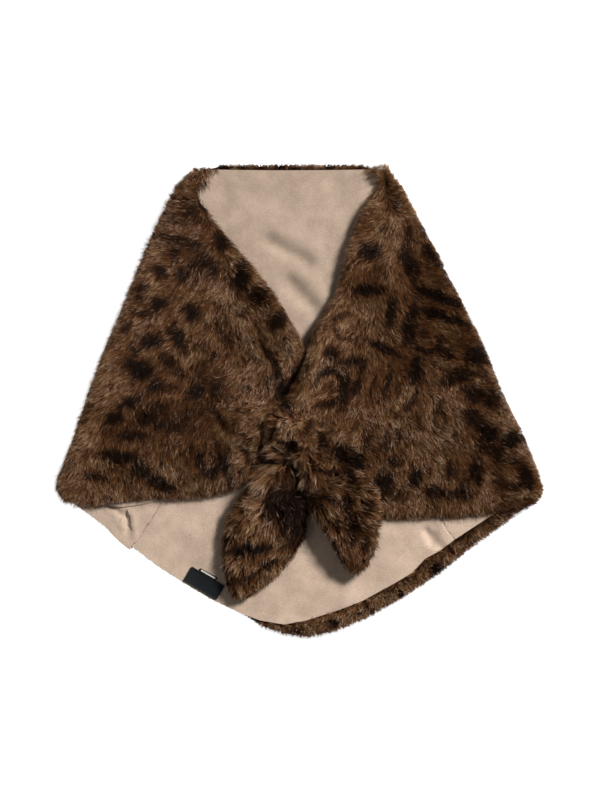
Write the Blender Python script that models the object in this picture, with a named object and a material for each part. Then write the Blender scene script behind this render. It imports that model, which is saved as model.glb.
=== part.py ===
"""Faux fur scarf: a lined triangle of long pile fur, tied in one knot and laid flat on its back.

The back panel lies lining side up. Each side panel starts at a seam in the back layer, turns over at the
slanted side fold, comes back over the front and is gathered into the knot, and its end is a tail.

Frame: +X right, +Y to the straight neck edge, +Z up. The origin is on the surface below the middle of
the scarf. Sizes are in millimetres and become metres where a mesh is made.
"""

from collections import namedtuple

import bmesh
import bpy
import numpy as np
from mathutils import Matrix

MM = 0.001

# Cloth
PILE = 9.0  # depth of the fur where it lies flat
LINING = 1.5
GAP = 0.3  # between layers, and between panels at a seam
EDGE_PULL = 0.4  # how far the lining's edge stops short of the fur that rises beside it

# Layers of the side fold, as radii round its axis
FOLD_HEIGHT = 12.5  # of the axis above the surface, and the fold's outer radius
FUR_IN = FOLD_HEIGHT - PILE
LINING_OUT = FUR_IN - GAP
LINING_IN = LINING_OUT - LINING
LINING_TOP = PILE + GAP + LINING  # top of the back layer's lining

# Front layer
SINK = 2.9  # how far the front settles onto the back layer inside the fold
SINK_OVER = 45.0
NECK_LIFT = 5.0  # how far the neck edge stands off the back layer
NECK_LIFT_REACH = 26.0
FULLNESS = 2.0  # extra pile depth away from the fold
FULLNESS_OVER = 60.0
NECK_ROLL = (3.5, 17.0, 12.0)  # height, distance from the edge and half width of the roll along the neck
BUNCH = 12.0  # extra depth of the gathered cloth at the knot
FREE_END_PILE = 0.4  # share of the pile's depth left at the edge along the crease
FREE_END_OVER = 16.0

# Knot
KNOT_X, KNOT_Y = -9.6, -37.8
KNOT_RADIUS = 30.5
KNOT_OVAL = 2.5  # how far the oval stands out of the circle, along and across its long axis
KNOT_LEAN = 55.0  # of the long axis, in degrees
KNOT_SIDES = 30
KNOT_STEPS = 13  # points along a gathered edge round the knot
KNOT_CLEAR = 0.4

# Rows run round each side fold, from the neck edge to the hem.
# fold: share of the way down the fold; band: share of the way across the fur band at the back hem;
# pile: share of the pile's depth left as the edge rounds off; crown: rise of the fur band
Row = namedtuple("Row", "fold band pile crown")
ROWS = [
    Row(*values)
    for values in (
        (0.000, 0.00, 0.35, 0.0),
        (0.008, 0.00, 0.62, 0.0),
        (0.030, 0.00, 0.90, 0.0),
        (0.070, 0.00, 1.00, 0.0),
        (0.125, 0.00, 1.00, 0.0),
        (0.195, 0.00, 1.00, 0.0),
        (0.270, 0.00, 1.00, 0.0),
        (0.350, 0.00, 1.00, 0.0),
        (0.430, 0.00, 1.00, 0.0),
        (0.510, 0.00, 1.00, 0.0),
        (0.590, 0.00, 1.00, 0.0),
        (0.670, 0.00, 1.00, 0.0),
        (0.745, 0.00, 1.00, 0.0),
        (0.815, 0.00, 1.00, 0.0),
        (0.875, 0.00, 1.00, 0.0),
        (0.925, 0.00, 1.00, 0.0),
        (0.955, 0.00, 1.00, 0.0),
        (0.968, 0.06, 0.97, 5.5),
        (0.981, 0.45, 0.88, 7.0),
        (0.992, 0.85, 0.65, 5.0),
        (1.000, 1.00, 0.38, 0.0),
    )
]
LAST = len(ROWS) - 1
BAND_ROW = 16  # the lining's edge where the fur band shows
LINING_ROW = 1  # the lining's edge at the neck

UNDER_COLUMNS = (0.0, 0.35, 0.7)
FOLD_ANGLES = np.radians((-90.0, -54.0, -18.0, 18.0, 54.0, 90.0))
FRONT_COLUMNS = (
    0.035, 0.07, 0.11, 0.17, 0.25, 0.34, 0.43, 0.52, 0.61, 0.70, 0.78, 0.85, 0.91, 0.96, 1.0,
)  # fmt: skip
BAND_FADE = (1.0, 1.0, 0.8)  # how much of the crown is left in each under column

# The two sides. fold: x, y of the outline and the lean of the cloth that leaves it; seam: x, y down to the
# lining's edge; seam_end: where the seam meets the fur's hem; neckline and hem: edges of the front from
# the fold to its gathered end; crease: the stretch of that end that stands free above the knot; knot_from
# and knot_to: where it meets the knot, in degrees; bunch_until: rows between which the gathers die away
Side = namedtuple(
    "Side",
    "name inward fold seam seam_end neckline hem crease knot_from knot_to band bunch_until ridges",
)

# x1, y1, x2, y2, height, half width: rolls (above 0) and creases (below 0) in the fur's surface
LEFT_RIDGES = (
    (-104.0, 148.0, -40.0, 62.0, 5.0, 17.0),
    (-40.0, 62.0, -26.0, 14.0, 6.0, 12.0),
    (-54.0, 100.0, -23.0, 26.0, -5.0, 7.0),
    (-66.0, 2.0, -58.0, -34.0, 8.0, 30.0),
    (-40.0, -14.0, -112.0, 8.0, 5.0, 8.0),
    (-42.0, -27.0, -128.0, -20.0, -5.0, 7.0),
    (-42.0, -38.0, -134.0, -44.0, 5.0, 8.0),
    (-38.0, -52.0, -116.0, -72.0, -4.0, 7.0),
    (-150.0, 60.0, -238.0, -70.0, 2.5, 34.0),
)
RIGHT_RIDGES = (
    (104.0, 262.0, 116.0, 205.0, 6.0, 13.0),
    (116.0, 205.0, 104.0, 120.0, 6.0, 16.0),
    (104.0, 120.0, 78.0, 70.0, 5.0, 18.0),
    (28.0, 74.0, 6.0, 2.0, 5.0, 14.0),
    (48.0, 2.0, 54.0, -30.0, 8.0, 30.0),
    (22.0, -18.0, 104.0, 22.0, 5.0, 8.0),
    (24.0, -32.0, 120.0, -12.0, -5.0, 7.0),
    (24.0, -44.0, 116.0, -46.0, 4.0, 8.0),
    (150.0, 60.0, 240.0, -70.0, 2.5, 34.0),
)

SIDES = (
    Side(
        name="left",
        inward=1.0,
        fold=(
            (-122.4, 279.0, -0.05),
            (-135.6, 269.4, 0.10),
            (-147.6, 256.0, 0.25),
            (-157.2, 238.2, 0.35),
            (-182.4, 185.4, 0.40),
            (-213.1, 109.8, 0.40),
            (-244.2, 34.2, 0.38),
            (-272.4, -48.6, 0.33),
            (-288.4, -88.2, 0.28),
            (-292.0, -104.0, 0.25),
            (-286.0, -119.0, 0.25),
        ),
        seam=(
            (-97.0, 281.8),
            (-103.0, 170.0),
            (-115.0, 50.0),
            (-136.0, -60.0),
            (-166.8, -124.2),
            (-197.8, -173.4),
        ),
        seam_end=(-200.0, -176.9),
        neckline=(
            (-112.5, 271.0),
            (-117.5, 260.0),
            (-120.0, 247.0),
            (-100.0, 211.8),
            (-66.7, 171.8),
            (-37.8, 136.3),
            (-9.0, 89.8),
        ),
        hem=(
            (-231.0, -124.7),
            (-185.0, -118.9),
            (-123.1, -115.4),
            (-93.2, -110.0),
            (-70.3, -103.0),
            (-46.0, -82.0),
        ),
        crease=((6.0, 58.0), (-1.0, 41.0), (-9.5, 24.0), (-17.5, 6.0), (-23.5, -6.5)),
        knot_from=128.0,
        knot_to=222.0,
        band=0.0,
        bunch_until=(0.90, 1.05),
        ridges=LEFT_RIDGES,
    ),
    Side(
        name="right",
        inward=-1.0,
        fold=(
            (107.3, 279.5, -0.05),
            (116.2, 267.4, 0.10),
            (125.0, 254.0, 0.25),
            (133.9, 236.3, 0.35),
            (153.8, 200.8, 0.40),
            (187.2, 134.2, 0.40),
            (220.4, 69.8, 0.38),
            (244.8, 7.8, 0.36),
            (271.4, -44.2, 0.33),
            (291.0, -98.0, 0.28),
            (292.6, -110.8, 0.25),
            (288.0, -122.0, 0.30),
        ),
        seam=(
            (78.0, 281.8),
            (88.0, 170.0),
            (106.0, 50.0),
            (134.0, -60.0),
            (169.2, -141.0),
            (187.2, -168.0),
        ),
        seam_end=(197.5, -182.8),
        neckline=(
            (98.0, 272.0),
            (101.8, 264.0),
            (82.8, 238.4),
            (62.9, 194.0),
            (49.6, 140.8),
            (42.8, 123.0),
            (18.5, 83.2),
            (10.5, 60.0),
            (-1.0, 25.0),
            (-7.0, 0.0),
        ),
        hem=(
            (242.4, -130.8),
            (208.8, -137.4),
            (165.0, -138.5),
            (120.6, -140.8),
            (89.5, -137.0),
            (52.0, -112.0),
            (26.0, -78.0),
        ),
        crease=(),
        knot_from=86.0,
        knot_to=-48.0,
        band=1.0,
        bunch_until=(0.45, 0.80),
        ridges=RIGHT_RIDGES,
    ),
)

# Back hem between the two seams. share: of the way from the left seam to the right one at the neck;
# x; fur: y of the fur's edge; lining: y of the lining's edge; band: share of the fur band's rise
Hem = namedtuple("Hem", "share x fur lining band")
BACK_HEM = [
    Hem(*values)
    for values in (
        (0.08, -170.0, -199.0, -199.8, 0.0),
        (0.16, -139.0, -219.0, -219.8, 0.0),
        (0.25, -105.0, -239.0, -239.8, 0.0),
        (0.34, -72.0, -255.0, -255.8, 0.0),
        (0.41, -47.0, -269.0, -265.2, 0.0),
        (0.48, -18.0, -279.0, -270.0, 0.45),
        (0.55, 9.6, -282.8, -265.0, 0.9),
        (0.63, 42.0, -276.0, -254.8, 1.0),
        (0.71, 76.2, -261.7, -241.8, 1.0),
        (0.80, 112.0, -242.2, -222.2, 1.0),
        (0.86, 138.0, -226.2, -206.8, 1.0),
        (0.91, 152.0, -217.2, -190.8, 1.0),
        (0.95, 170.0, -204.6, -181.2, 1.0),
    )
]
HIDDEN_BAND = 4.0  # how far inside the lining's edge the fur rounds off where no band shows
BAND_CLEAR = 0.4

# Knot: height and share of the knot's radius, from the back layer's lining upwards
KNOT_PROFILE = (
    (LINING_TOP + GAP, 0.80),
    (14.0, 0.96),
    (20.0, 1.00),
    (37.0, 1.00),
    (44.0, 0.96),
    (49.0, 0.87),
    (52.5, 0.73),
    (54.5, 0.55),
    (55.5, 0.30),
)
KNOT_TOP = 56.0
KNOT_RIDGES_OVER = (34.0, 50.0)  # heights between which the rolls and creases grow to their full size
KNOT_RIDGES = (
    (-28.0, -12.0, 8.0, -60.0, 5.0, 10.0),
    (-36.0, -40.0, -14.0, -66.0, -4.0, 6.0),
    (-6.0, -8.0, 20.0, -40.0, -4.0, 7.0),
    (14.0, -24.0, 20.0, -48.0, 3.0, 7.0),
)

# Tails, from the knot to the tip: left and right edge, height of the underside, thickness, valley depth.
# The first station follows the knot's side instead, between two angles in degrees
Station = namedtuple("Station", "left_x left_y right_x right_y under thick valley")
LEFT_TAIL = [
    Station(*values)
    for values in (
        (-28.4, -61.0, -10.5, -67.6, 15.0, 23.0, 0.0),
        (-42.5, -86.5, -5.0, -88.0, 13.0, 25.0, 1.0),
        (-66.0, -109.5, 2.0, -114.0, 11.3, 27.0, 2.5),
        (-82.0, -134.0, 7.0, -138.0, 11.3, 26.0, 3.0),
        (-89.5, -158.0, 7.0, -162.0, 11.3, 25.0, 3.0),
        (-91.0, -182.0, -5.0, -184.0, 11.3, 24.0, 2.5),
        (-89.0, -204.0, -24.0, -206.0, 11.3, 22.0, 1.5),
        (-85.0, -221.0, -44.0, -222.0, 11.3, 19.0, 0.5),
        (-79.0, -233.0, -60.0, -233.0, 11.3, 14.0, 0.0),
    )
]
RIGHT_TAIL = [
    Station(*values)
    for values in (
        (-6.0, -69.0, 15.0, -59.0, 27.5, 21.0, 0.0),
        (1.5, -85.0, 46.0, -71.0, 27.5, 21.0, 2.0),
        (6.5, -102.0, 79.0, -86.0, 27.0, 20.0, 4.5),
        (13.0, -122.0, 92.0, -106.0, 26.5, 19.0, 5.5),
        (23.0, -143.0, 95.0, -130.0, 26.0, 18.0, 5.5),
        (34.0, -162.0, 94.5, -152.0, 25.0, 17.0, 5.0),
        (45.0, -181.0, 91.5, -172.0, 24.0, 16.0, 4.0),
        (54.0, -195.0, 87.0, -188.0, 23.0, 14.0, 2.0),
        (60.5, -203.0, 79.0, -199.0, 23.0, 10.0, 0.0),
    )
]
TAIL_ROOTS = {"tail_left": (229.0, 268.0), "tail_right": (276.0, 320.0)}
TAIL_TIPS = {"tail_left": (-69.5, -237.0, 17.0), "tail_right": (69.0, -206.5, 26.5)}
TAIL_POINTS = 9  # across the top from edge to edge, and again beneath without the edges
VALLEY_AT = 0.15  # across the tail, where -1 is its left edge and 1 its right
VALLEY_WIDTH = 0.32

# Labels: length, width, thickness, centre x, centre y, underside, turn in degrees
LABELS = {
    "label_size": (24.0, 15.0, 0.6, -112.0, -214.0, LINING_TOP + GAP, -30.6),
    "label_main": (46.0, 19.5, 0.8, -114.2, -219.7, LINING_TOP + GAP + 0.6 + GAP, -30.6),
}

# red, green, blue, roughness
COLOURS = {
    "fur": (0.060, 0.030, 0.014, 0.85),
    "lining": (0.560, 0.430, 0.320, 0.90),
    "label": (0.010, 0.011, 0.012, 0.70),
}


def material(kind):
    """The Principled material of one kind of cloth."""
    made = bpy.data.materials.get(kind)
    if made:
        return made
    red, green, blue, roughness = COLOURS[kind]
    made = bpy.data.materials.new(kind)
    made.use_nodes = True
    shader = made.node_tree.nodes["Principled BSDF"]
    shader.inputs["Base Color"].default_value = (red, green, blue, 1.0)
    shader.inputs["Roughness"].default_value = roughness
    shader.inputs["Metallic"].default_value = 0.0
    return made


def add_object(name, mesh, kind, scarf):
    mesh.materials.append(material(kind))
    made = bpy.data.objects.new(name, mesh)
    scarf.objects.link(made)
    return made


def mesh_from(name, points, faces):
    """A closed mesh in metres, with its faces turned outwards."""
    mesh = bpy.data.meshes.new(name)
    mesh.from_pydata((np.asarray(points) * MM).tolist(), [], faces)
    body = bmesh.new()
    body.from_mesh(mesh)
    bmesh.ops.recalc_face_normals(body, faces=body.faces)
    body.to_mesh(mesh)
    body.free()
    return mesh


def sheet(name, top, bottom, kind, scarf):
    """A wall between two grids of points with the same rows and columns."""
    rows, columns, _ = top.shape
    points = np.concatenate([top.reshape(-1, 3), bottom.reshape(-1, 3)])
    under = rows * columns
    faces = []
    for row in range(rows - 1):
        for column in range(columns - 1):
            a = row * columns + column
            b, c, d = a + 1, a + columns + 1, a + columns
            faces += [(a, b, c), (a, c, d)]
            faces += [(under + a, under + c, under + b), (under + a, under + d, under + c)]
    rim = list(range(columns))
    rim += [row * columns + columns - 1 for row in range(1, rows)]
    rim += [(rows - 1) * columns + column for column in range(columns - 2, -1, -1)]
    rim += [row * columns for row in range(rows - 2, 0, -1)]
    for a, b in zip(rim, rim[1:] + rim[:1]):
        faces += [(a, under + a, under + b), (a, under + b, b)]
    return add_object(name, mesh_from(name, points, faces), kind, scarf)


def loft(name, rings, tip, kind, scarf):
    """A closed body through rings of points, closed across its first ring and to a point at the other."""
    count = len(rings[0])
    points = np.concatenate([*rings, [tip]])
    faces = []
    for near in range(count // 2):  # the first ring is closed by strips from one side of it to the other
        far = count - near
        strip = (near, near + 1, far - 1, far % count)
        faces.append(tuple(dict.fromkeys(strip)))
    for ring in range(len(rings) - 1):
        for corner in range(count):
            a = ring * count + corner
            b = ring * count + (corner + 1) % count
            faces.append((a, b, b + count, a + count))
    last = (len(rings) - 1) * count
    for corner in range(count):
        faces.append((last + corner, last + (corner + 1) % count, len(points) - 1))
    return add_object(name, mesh_from(name, points, faces), kind, scarf)


def along(points, shares):
    """Points at the given shares of the length of a smooth curve through a table's rows."""
    table = np.asarray(points, float)
    ends = np.vstack([2 * table[0] - table[1], table, 2 * table[-1] - table[-2]])
    steps = np.linspace(0.0, 1.0, 16, endpoint=False)[:, None]
    pieces = []
    for p0, p1, p2, p3 in zip(ends, ends[1:], ends[2:], ends[3:]):
        bend = 2 * p0 - 5 * p1 + 4 * p2 - p3
        twist = 3 * p1 - p0 - 3 * p2 + p3
        pieces.append(0.5 * (2 * p1 + (p2 - p0) * steps + bend * steps**2 + twist * steps**3))
    fine = np.vstack([*pieces, table[-1:]])
    lengths = np.linalg.norm(np.diff(fine[:, :2], axis=0), axis=1)
    travelled = np.concatenate([[0.0], np.cumsum(lengths)]) / lengths.sum()
    return np.stack([np.interp(shares, travelled, column) for column in fine.T], axis=-1)


def mix(a, b, share):
    return a + (b - a) * share


def ease(value, start, end):
    """0 before start, 1 after end, and smooth between them."""
    share = np.clip((value - start) / (end - start), 0.0, 1.0)
    return share * share * (3 - 2 * share)


def ridge_height(xy, ridges):
    """Height that the table of rolls and creases adds at each point."""
    height = np.zeros(xy.shape[:-1])
    for x1, y1, x2, y2, rise, width in ridges:
        start = np.array((x1, y1))
        run = np.array((x2, y2)) - start
        share = np.clip(((xy - start) @ run) / (run @ run), 0.0, 1.0)
        distance = np.linalg.norm(xy - start - share[..., None] * run, axis=-1)
        height += rise * np.exp(-((distance / width) ** 2))
    return height


def knot_points(degrees, clear=KNOT_CLEAR, share=1.0):
    """Points round the knot's oval side, this far outside it."""
    turn = np.radians(degrees)
    reach = (KNOT_RADIUS + KNOT_OVAL * np.cos(2 * (turn - np.radians(KNOT_LEAN)))) * share + clear
    return np.stack([KNOT_X + reach * np.cos(turn), KNOT_Y + reach * np.sin(turn)], axis=-1)


def gathered_end(side, down):
    """Where each row of the front ends: along the free crease, then round the knot."""
    round_knot = knot_points(np.linspace(side.knot_from, side.knot_to, KNOT_STEPS))
    return along([*side.crease, *round_knot], down)


def seam_points(side):
    """A point of the side's panel seam for each row, down over the fur band to the hem."""
    shares = np.array([row.fold for row in ROWS])
    points = along(side.seam, np.minimum(shares / ROWS[BAND_ROW].fold, 1.0))
    bands = np.array([row.band for row in ROWS])[:, None]
    return mix(points, np.asarray(side.seam_end), bands)


def with_height(xy, height):
    return np.concatenate([xy, np.broadcast_to(height, xy.shape[:-1])[..., None]], axis=-1)


def under_layers(side, axis_xy):
    """Four surfaces of the back layer between the seam and the fold, from the surface upwards."""
    seam = seam_points(side) - np.array((side.inward * GAP / 2, 0.0))
    shares = np.asarray(UNDER_COLUMNS)[None, :, None]
    xy = mix(seam[:, None, :], axis_xy[:, None, :], shares)
    pile = np.array([row.pile for row in ROWS])[:, None]
    crown = np.array([row.crown for row in ROWS])[:, None] * side.band * np.asarray(BAND_FADE)
    fur_out = with_height(xy, PILE * (1 - pile))
    fur_in = with_height(xy, PILE + crown)
    return fur_out, fur_in, with_height(xy, PILE + GAP), with_height(xy, LINING_TOP)


def fold_layers(axis_xy, outward):
    """The same four surfaces round the fold."""
    pile = np.array([row.pile for row in ROWS])[:, None]
    level = np.ones_like(pile)
    layers = []
    for radius in (FUR_IN + PILE * pile, FUR_IN * level, LINING_OUT * level, LINING_IN * level):
        reach = radius * np.cos(FOLD_ANGLES)
        xy = axis_xy[:, None, :] + outward[:, None, :] * reach[..., None]
        layers.append(with_height(xy, FOLD_HEIGHT + radius * np.sin(FOLD_ANGLES)))
    return layers


def front_layers(side, axis_xy):
    """The same four surfaces from the fold over the front to the knot."""
    across = np.asarray(FRONT_COLUMNS)
    down = np.array([row.fold for row in ROWS])
    knot = gathered_end(side, down)
    neck = along([axis_xy[0], *side.neckline, knot[0]], across)
    hem = along([axis_xy[LAST], *side.hem, knot[LAST]], across)
    u, v = across[None, :, None], down[:, None, None]
    corners = mix(mix(axis_xy[0], knot[0], u), mix(axis_xy[LAST], knot[LAST], u), v)
    xy = mix(neck[None], hem[None], v) + mix(axis_xy[:, None], knot[:, None], u) - corners

    from_fold = np.linalg.norm(xy - axis_xy[:, None], axis=-1)
    from_neck = np.linalg.norm(xy - neck[None], axis=-1)
    free = ease(across, 0.06, 0.2)[None, :]  # the neck edge is held down at the fold
    lift = NECK_LIFT * free * np.exp(-((from_neck / NECK_LIFT_REACH) ** 2))
    floor = FOLD_HEIGHT + LINING_IN - SINK * ease(from_fold, 0.0, SINK_OVER) + lift

    roll_height, roll_at, roll_width = NECK_ROLL
    depth = PILE + FULLNESS * ease(from_fold, 0.0, FULLNESS_OVER)
    depth += free * roll_height * np.exp(-(((from_neck - roll_at) / roll_width) ** 2))
    bunch_from, bunch_to = side.bunch_until
    depth += BUNCH * ease(across, 0.5, 0.97)[None, :] * (1 - ease(down, bunch_from, bunch_to))[:, None]
    depth += ridge_height(xy, side.ridges) * ease(from_fold, 0.0, SINK_OVER)
    from_end = np.linalg.norm(xy - knot[:, None], axis=-1)
    beside_knot = np.linalg.norm(knot - (KNOT_X, KNOT_Y), axis=-1) < KNOT_RADIUS + KNOT_OVAL + 1
    thinned = mix(FREE_END_PILE, 1.0, ease(from_end, 0.0, FREE_END_OVER))
    pile = np.array([row.pile for row in ROWS])[:, None] * np.where(beside_knot[:, None], 1.0, thinned)

    fur_in = floor + LINING + GAP
    return (
        with_height(xy, fur_in + depth * pile),
        with_height(xy, fur_in),
        with_height(xy, floor + LINING),
        with_height(xy, floor),
    )


def pull_edge(grid):
    """Moves the grid's last row a little towards the row before it."""
    step = grid[-2] - grid[-1]
    grid[-1] += EDGE_PULL * step / np.linalg.norm(step, axis=-1, keepdims=True)


def add_side(side, scarf):
    fold = along(side.fold, np.array([row.fold for row in ROWS]))
    inward = np.stack([np.full(len(fold), side.inward), -fold[:, 2]], axis=-1)
    inward /= np.linalg.norm(inward, axis=-1, keepdims=True)
    axis_xy = fold[:, :2] + FOLD_HEIGHT * inward
    zones = (under_layers(side, axis_xy), fold_layers(axis_xy, -inward), front_layers(side, axis_xy))
    fur_out, fur_in, lining_out, lining_in = (np.concatenate(layer, axis=1) for layer in zip(*zones))
    sheet(f"fur_{side.name}", fur_out, fur_in, "fur", scarf)
    lining_rows = slice(LINING_ROW, (BAND_ROW if side.band else LAST) + 1)
    lining_out, lining_in = lining_out[lining_rows].copy(), lining_in[lining_rows].copy()
    pull_edge(lining_out)
    pull_edge(lining_in)
    sheet(f"lining_{side.name}", lining_out, lining_in, "lining", scarf)


def add_back(scarf):
    left, right = SIDES
    half = np.array((GAP / 2, 0.0))
    left_seam, right_seam = seam_points(left) + half, seam_points(right) - half
    shares = np.array([0.0, *[hem.share for hem in BACK_HEM], 1.0])
    x = np.array([hem.x for hem in BACK_HEM])
    fur_edge = np.stack([x, [hem.fur for hem in BACK_HEM]], axis=-1)
    lining_edge = np.stack([x, [hem.lining for hem in BACK_HEM]], axis=-1)
    offset = [HIDDEN_BAND if hem.lining <= hem.fur else -BAND_CLEAR for hem in BACK_HEM]
    band_edge = lining_edge + np.stack([np.zeros(len(x)), offset], axis=-1)
    band_rise = np.array([0.0, *[hem.band for hem in BACK_HEM], 1.0])

    def grid(left_points, right_points, down, edge):
        """Rows between the two seams that bow towards the hem, and reach it at the last row."""
        straight = mix(left_points[:, None], right_points[:, None], shares[None, :, None])
        bow = np.zeros((len(shares), 2))
        bow[1:-1] = edge - straight[-1, 1:-1]
        return straight + bow[None] * down[:, None, None]

    down = np.array([row.fold for row in ROWS[: BAND_ROW + 1]]) / ROWS[BAND_ROW].fold
    body = grid(left_seam[: BAND_ROW + 1], right_seam[: BAND_ROW + 1], down, band_edge)
    outer = np.vstack([left_seam[LAST], fur_edge, right_seam[LAST]])
    bands = np.array([row.band for row in ROWS[BAND_ROW + 1 :]])[:, None, None]
    xy = np.concatenate([body, mix(body[-1:], outer[None], bands)])
    pile = np.array([row.pile for row in ROWS])[:, None]
    crown = np.array([row.crown for row in ROWS])[:, None] * band_rise[None]
    sheet("fur_back", with_height(xy, PILE * (1 - pile)), with_height(xy, PILE + crown), "fur", scarf)

    left_edge = left_seam[: BAND_ROW + 1].copy()
    left_edge[-1] = left_seam[LAST]  # on the left the lining reaches the fur's edge
    xy = grid(left_edge, right_seam[: BAND_ROW + 1], down, lining_edge)[LINING_ROW:]
    pull_edge(xy)
    sheet("lining_back", with_height(xy, PILE + GAP), with_height(xy, LINING_TOP), "lining", scarf)


def add_knot(scarf):
    turns = np.linspace(0.0, 360.0, KNOT_SIDES, endpoint=False)
    rings = []
    for height, share in KNOT_PROFILE:
        xy = knot_points(turns, clear=0.0, share=share)
        raised = ridge_height(xy, KNOT_RIDGES) * ease(height, *KNOT_RIDGES_OVER)
        rings.append(with_height(xy, height + raised))
    tip = (KNOT_X, KNOT_Y, KNOT_TOP + ridge_height(np.array((KNOT_X, KNOT_Y)), KNOT_RIDGES))
    loft("knot", rings, tip, "fur", scarf)


def add_tail(name, stations, scarf):
    over = np.linspace(-1.0, 1.0, TAIL_POINTS)
    beneath = over[-2:0:-1]
    root_from, root_to = TAIL_ROOTS[name]
    rings = []
    for station in stations:
        left = np.array((station.left_x, station.left_y))
        right = np.array((station.right_x, station.right_y))
        dome = (1 - np.abs(over) ** 2.6) ** 0.5
        valley = station.valley * np.exp(-(((over - VALLEY_AT) / VALLEY_WIDTH) ** 2))
        top = station.under + station.thick * (0.42 + 0.58 * dome) - valley
        under = station.under + 0.3 * station.thick * beneath**6
        share = (np.concatenate([over, beneath]) + 1) / 2
        if station is stations[0]:
            xy = knot_points(mix(root_from, root_to, share))
        else:
            xy = mix(left, right, share[:, None])
        rings.append(with_height(xy, np.concatenate([top, under])))
    loft(name, rings, TAIL_TIPS[name], "fur", scarf)


def add_label(name, scarf):
    length, width, thickness, x, y, under, turn = LABELS[name]
    place = Matrix.Translation(np.array((x, y, under + thickness / 2)) * MM)
    place @= Matrix.Rotation(np.radians(turn), 4, "Z")
    place @= Matrix.Diagonal((length * MM, width * MM, thickness * MM, 1.0))
    body = bmesh.new()
    bmesh.ops.create_cube(body, size=1.0, matrix=place)
    mesh = bpy.data.meshes.new(name)
    body.to_mesh(mesh)
    body.free()
    add_object(name, mesh, "label", scarf)


def main():
    for old in list(bpy.data.objects):
        bpy.data.objects.remove(old, do_unlink=True)
    scarf = bpy.data.collections.new("fur_scarf")
    bpy.context.scene.collection.children.link(scarf)
    add_back(scarf)
    for side in SIDES:
        add_side(side, scarf)
    add_knot(scarf)
    add_tail("tail_left", LEFT_TAIL, scarf)
    add_tail("tail_right", RIGHT_TAIL, scarf)
    for name in LABELS:
        add_label(name, scarf)


main()
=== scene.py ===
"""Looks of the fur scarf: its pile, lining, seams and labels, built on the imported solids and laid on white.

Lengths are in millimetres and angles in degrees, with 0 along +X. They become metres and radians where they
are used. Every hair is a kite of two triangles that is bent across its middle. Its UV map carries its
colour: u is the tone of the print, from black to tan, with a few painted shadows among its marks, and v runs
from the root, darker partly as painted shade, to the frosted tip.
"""

from collections import namedtuple

import bmesh
import bpy
import numpy as np
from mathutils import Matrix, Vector
from mathutils.bvhtree import BVHTree
from mathutils.kdtree import KDTree


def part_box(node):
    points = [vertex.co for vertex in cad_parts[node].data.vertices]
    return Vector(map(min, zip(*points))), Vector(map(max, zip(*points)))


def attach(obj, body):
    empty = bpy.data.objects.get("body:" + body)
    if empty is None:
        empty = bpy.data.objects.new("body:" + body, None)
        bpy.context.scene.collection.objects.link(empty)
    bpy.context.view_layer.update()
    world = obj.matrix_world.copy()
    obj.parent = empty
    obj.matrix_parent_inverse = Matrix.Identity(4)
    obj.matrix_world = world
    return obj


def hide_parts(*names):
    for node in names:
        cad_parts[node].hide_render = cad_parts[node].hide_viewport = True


MM = 0.001
ROOT_BODY = "root"
FUR_NODES = ("fur_back", "fur_left", "fur_right", "knot", "tail_left", "tail_right")
LINING_NODES = ("lining_back", "lining_left", "lining_right")

# Photograph: 600 x 800 pixels, 1.2 mm each, seen straight down
FRAME_HEIGHT = 960.0
FRAME_CENTRE = (1.2, 0.6)
CAMERA_DISTANCE = 3000.0
CAMERA_AIM_HEIGHT = 20.0
CAMERA_SEES_TO = 20000.0
SENSOR_HEIGHT = 36.0

# Studio. Places and sizes in metres, powers in watts
Light = namedtuple("Light", "name place size power")
LIGHTS = (
    Light("key", (3.1, 2.3, 3.3), 0.95, 385.0),
    Light("fill", (-1.8, -0.9, 2.4), 2.4, 6.0),
)
LIGHT_COLOUR = (1.0, 0.98, 0.96)
WORLD_STRENGTH = 0.11
FLOOR_REACH = 6.0
FLOOR_COLOUR = (0.9, 0.9, 0.9, 1.0)
FLOOR_GLOW = 0.94
WHITE = (1.0, 1.0, 1.0, 1.0)

# Surfaces
WELD = 1e-5  # metres within which two points of a CAD mesh are one
WALL_START, WALL_REACH = 0.05, 40.0  # where a probe for the other side of the cloth starts and ends
WALL_MISSED = 0.5  # thickness taken where the probe meets nothing
COVERED_WITHIN = 0.35  # a face this near to another node is hidden by it and grows no hair
SKIN_CELL = 5.0  # longest side of the faces for which that is asked
UNDERSIDE_BELOW, UNDERSIDE_FACES = 2.0, -0.5  # greatest height and upward share of a face of the underside
SEAM_GAP, SEAM_CLOSE = 0.6, 0.55  # widest gap of a seam, and the share of it that each side is drawn over
SHARP_OVER = 40.0  # edges that turn by more are drawn sharp
NOISE_PACES, NOISE_HEIGHT = (0.35, 1.0), 1.1  # shares of a noise's finest pace, and its usual height

# Backing under the hairs
CORE_INSET = 5.0
CORE_SHARE = 0.45  # of the wall's thickness, at most

# Coats. length and spread; width; depth of the root below the surface; lift at the root and lay at the tip,
# in degrees off the surface; level: how far it stays level where the surface turns down; over: how far a tip
# may stand proud; locks: sizes of coarse and fine locks; pull: how far the tips of a lock close up; stray:
# how far its direction wanders, in degrees
Coat = namedtuple("Coat", "length spread width depth lift lay level over locks pull stray")
TOP_COAT = Coat(11, 0.2, 0.52, 5.5, 56, 12, 0.5, 2.8, (8, 2.4), (0.14, 0.28), (16, 11))
GUARD_COAT = Coat(11.5, 0.24, 0.38, 4, 48, 20, 0.6, 4.2, (7, 2), (0.14, 0.34), (20, 18))
KNOT_COAT = Coat(13.5, 0.22, 0.55, 5.5, 56, 16, 0.7, 4.4, (8, 2.8), (0.22, 0.35), (24, 11))
EDGE_COAT = Coat(8.5, 0.25, 0.5, 3, 56, 26, 0.6, 3.4, (5, 1.8), (0.08, 0.16), (16, 42))
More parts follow.
